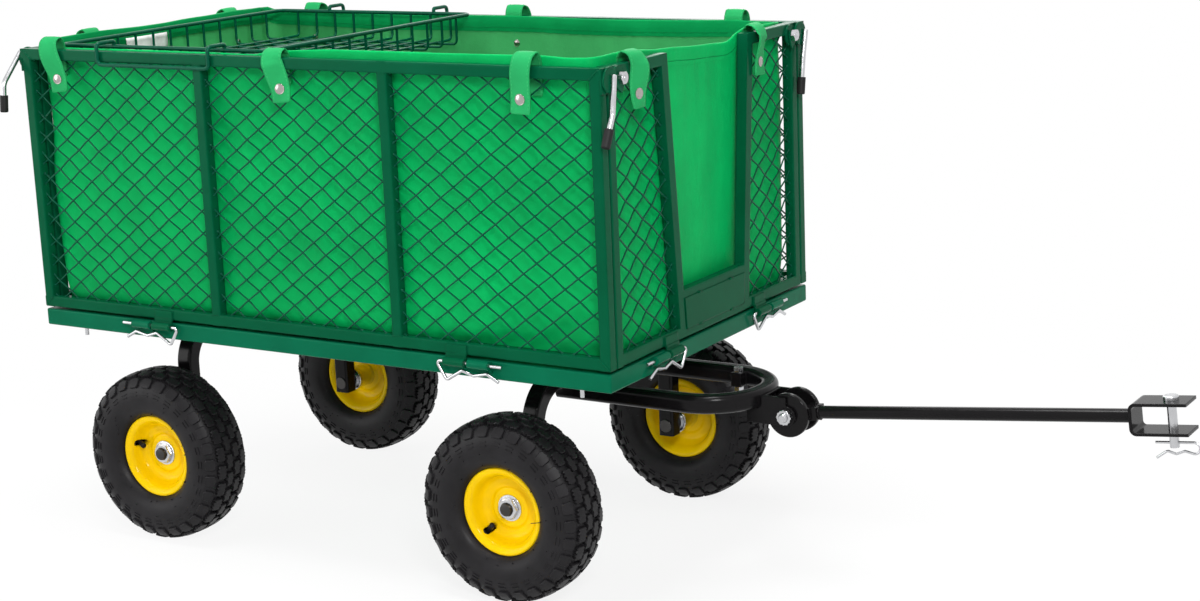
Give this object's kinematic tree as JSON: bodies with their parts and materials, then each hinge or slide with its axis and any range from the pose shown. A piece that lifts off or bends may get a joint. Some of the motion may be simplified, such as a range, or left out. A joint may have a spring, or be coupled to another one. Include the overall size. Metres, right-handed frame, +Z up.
{
  "type": "hand wagon",
  "caption": "Garden wagon with fold-down mesh sides, cloth liner, hung wire tray, pneumatic wheels, turntable steering and a tow clevis.",
  "frame": {"origin": "middle of the outer box on the ground, tyres standing on Z = 0", "axes": "+X forwards along the drawbar, +Y to the wagon's left, +Z up"},
  "size_m": [1.6954, 0.654, 0.7443],
  "materials": {
    "green_frame": "gloss powder coat",
    "liner_cloth": "coated woven cloth",
    "strap_webbing": "coated woven cloth",
    "black_frame": "satin powder coat",
    "zinc": "bright zinc plate",
    "dark_steel": "blackened steel",
    "hub_steel": "machined steel",
    "grip_rubber": "matte",
    "tyre_rubber": "matte moulded rubber",
    "tube_rubber": "matte",
    "yellow_rim": "gloss enamel",
    "coated_wire": "gloss powder coat"
  },
  "bodies": {
    "bed": {"bed_frame": "green_frame", "bed_deck": "green_frame", "bed_hinge_sleeves": "green_frame", "hinge_clips": "zinc", "bed_bolts": "zinc", "rear_axle_bow": "black_frame", "rear_axle_bolts": "dark_steel", "turntable_bolster": "black_frame", "kingpin": "zinc", "liner": "liner_cloth", "liner_straps": "strap_webbing", "liner_snaps": "zinc"},
    "steering": {"front_axle_bow": "black_frame", "front_axle_bolts": "dark_steel", "drawbar_loop": "black_frame", "drawbar_fork": "black_frame", "drawbar_bolts": "zinc"},
    "drawbar": {"drawbar_knuckle": "black_frame", "drawbar_rod": "black_frame", "tow_clevis": "black_frame"},
    "hitch_pin": {"hitch_pin": "zinc"},
    "hitch_clip": {"hitch_clip": "zinc"},
    "tray": {"wire_tray": "coated_wire"},
    "wheel_front_left": {"wheel_front_left_tyre": "tyre_rubber", "wheel_front_left_inner_tube": "tube_rubber", "wheel_front_left_rim": "yellow_rim", "wheel_front_left_hub": "hub_steel"},
    "wheel_front_right": {"wheel_front_right_tyre": "tyre_rubber", "wheel_front_right_inner_tube": "tube_rubber", "wheel_front_right_rim": "yellow_rim", "wheel_front_right_hub": "hub_steel"},
    "wheel_rear_left": {"wheel_rear_left_tyre": "tyre_rubber", "wheel_rear_left_inner_tube": "tube_rubber", "wheel_rear_left_rim": "yellow_rim", "wheel_rear_left_hub": "hub_steel"},
    "wheel_rear_right": {"wheel_rear_right_tyre": "tyre_rubber", "wheel_rear_right_inner_tube": "tube_rubber", "wheel_rear_right_rim": "yellow_rim", "wheel_rear_right_hub": "hub_steel"},
    "panel_right": {"panel_right_frame": "green_frame", "panel_right_mesh": "green_frame"},
    "panel_left": {"panel_left_frame": "green_frame", "panel_left_mesh": "green_frame"},
    "panel_front": {"panel_front_frame": "green_frame", "panel_front_mesh": "green_frame", "panel_front_plate": "green_frame", "panel_front_catch_bolts": "zinc"},
    "panel_rear": {"panel_rear_frame": "green_frame", "panel_rear_mesh": "green_frame", "panel_rear_plate": "green_frame", "panel_rear_catch_bolts": "zinc"},
    "latch_front_right": {"latch_front_right_lever": "zinc", "latch_front_right_grip": "grip_rubber"},
    "latch_front_left": {"latch_front_left_lever": "zinc", "latch_front_left_grip": "grip_rubber"},
    "latch_rear_right": {"latch_rear_right_lever": "zinc", "latch_rear_right_grip": "grip_rubber"},
    "latch_rear_left": {"latch_rear_left_lever": "zinc", "latch_rear_left_grip": "grip_rubber"}
  },
  "joints": [
    {"name": "steering_turn", "type": "hinge", "parent": "bed", "child": "steering", "pos_m": [-0.02036, 0, 0.292], "axis": [0, 0, 1], "range_deg": [-45, 45]},
    {"name": "drawbar_pitch", "type": "hinge", "parent": "steering", "child": "drawbar", "pos_m": [0.28564, 0, 0.234], "axis": [0, 1, 0], "range_deg": [-80, 27]},
    {"name": "hitch_pin_lift", "type": "slide", "parent": "drawbar", "child": "hitch_pin", "axis": [-0.1045, 0, 0.9945], "range_m": [0, 0.01]},
    {"name": "hitch_clip_pull", "type": "slide", "parent": "hitch_pin", "child": "hitch_clip", "axis": [0.9945, 0, 0.1045], "range_m": [0, 0.06]},
    {"name": "tray_lift", "type": "slide", "parent": "bed", "child": "tray", "axis": [0, 0, 1], "range_m": [0, 0.15]},
    {"name": "wheel_front_left_spin", "type": "hinge", "parent": "steering", "child": "wheel_front_left", "pos_m": [-0.02036, 0.248, 0.13], "axis": [0, 1, 0], "continuous": true},
    {"name": "wheel_front_right_spin", "type": "hinge", "parent": "steering", "child": "wheel_front_right", "pos_m": [-0.02036, -0.248, 0.13], "axis": [0, 1, 0], "continuous": true},
    {"name": "wheel_rear_left_spin", "type": "hinge", "parent": "bed", "child": "wheel_rear_left", "pos_m": [-0.64436, 0.248, 0.13], "axis": [0, 1, 0], "continuous": true},
    {"name": "wheel_rear_right_spin", "type": "hinge", "parent": "bed", "child": "wheel_rear_right", "pos_m": [-0.64436, -0.248, 0.13], "axis": [0, 1, 0], "continuous": true},
    {"name": "panel_right_fold", "type": "hinge", "parent": "bed", "child": "panel_right", "pos_m": [-0.33236, -0.292, 0.339], "axis": [1, 0, 0], "range_deg": [0, 120]},
    {"name": "panel_left_fold", "type": "hinge", "parent": "bed", "child": "panel_left", "pos_m": [-0.33236, 0.292, 0.339], "axis": [-1, 0, 0], "range_deg": [0, 120]},
    {"name": "panel_front_fold", "type": "hinge", "parent": "bed", "child": "panel_front", "pos_m": [0.17464, 0, 0.339], "axis": [0, 1, 0], "range_deg": [0, 90]},
    {"name": "panel_rear_fold", "type": "hinge", "parent": "bed", "child": "panel_rear", "pos_m": [-0.83936, 0, 0.339], "axis": [0, -1, 0], "range_deg": [0, 120]},
    {"name": "latch_front_right_swing", "type": "hinge", "parent": "panel_right", "child": "latch_front_right", "pos_m": [0.17264, -0.268, 0.722], "axis": [-1, 0, 0], "range_deg": [0, 100]},
    {"name": "latch_front_left_swing", "type": "hinge", "parent": "panel_left", "child": "latch_front_left", "pos_m": [0.17264, 0.268, 0.722], "axis": [1, 0, 0], "range_deg": [0, 100]},
    {"name": "latch_rear_right_swing", "type": "hinge", "parent": "panel_right", "child": "latch_rear_right", "pos_m": [-0.83736, -0.268, 0.722], "axis": [-1, 0, 0], "range_deg": [0, 100]},
    {"name": "latch_rear_left_swing", "type": "hinge", "parent": "panel_left", "child": "latch_rear_left", "pos_m": [-0.83736, 0.268, 0.722], "axis": [1, 0, 0], "range_deg": [0, 100]}
  ]
}
